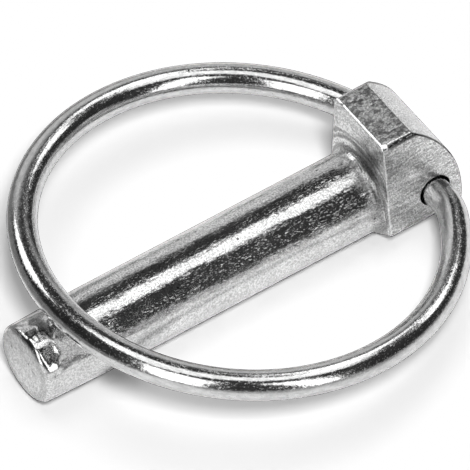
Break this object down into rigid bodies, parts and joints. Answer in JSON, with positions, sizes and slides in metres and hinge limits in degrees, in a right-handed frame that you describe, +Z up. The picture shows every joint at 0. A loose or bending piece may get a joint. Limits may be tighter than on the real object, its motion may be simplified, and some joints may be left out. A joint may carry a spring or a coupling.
{
  "type": "lynch pin",
  "caption": "Quick-release lynch pin: a round steel shank with a forged block head, and a spring wire ring hinged in the head that folds over the tip to lock it.",
  "frame": {"origin": "on the surface that the pin lies on, under the middle of the overall length", "axes": "+X along the shank towards its tip, +Y across the head along the ring's hinge axis, +Z up from the surface"},
  "size_m": [0.0558, 0.0528, 0.0163],
  "materials": {
    "forged_steel": "bright zinc plating over forged steel, slightly rough",
    "spring_wire": "bright zinc plating over drawn spring wire, glossy"
  },
  "bodies": {
    "pin": {"pin": "forged_steel"},
    "ring": {"ring": "spring_wire"}
  },
  "joints": [
    {"name": "ring_swing", "type": "hinge", "parent": "pin", "child": "ring", "pos_m": [-0.0244, 0, 0.006], "axis": [0, -1, 0], "range_deg": [0, 343]}
  ]
}
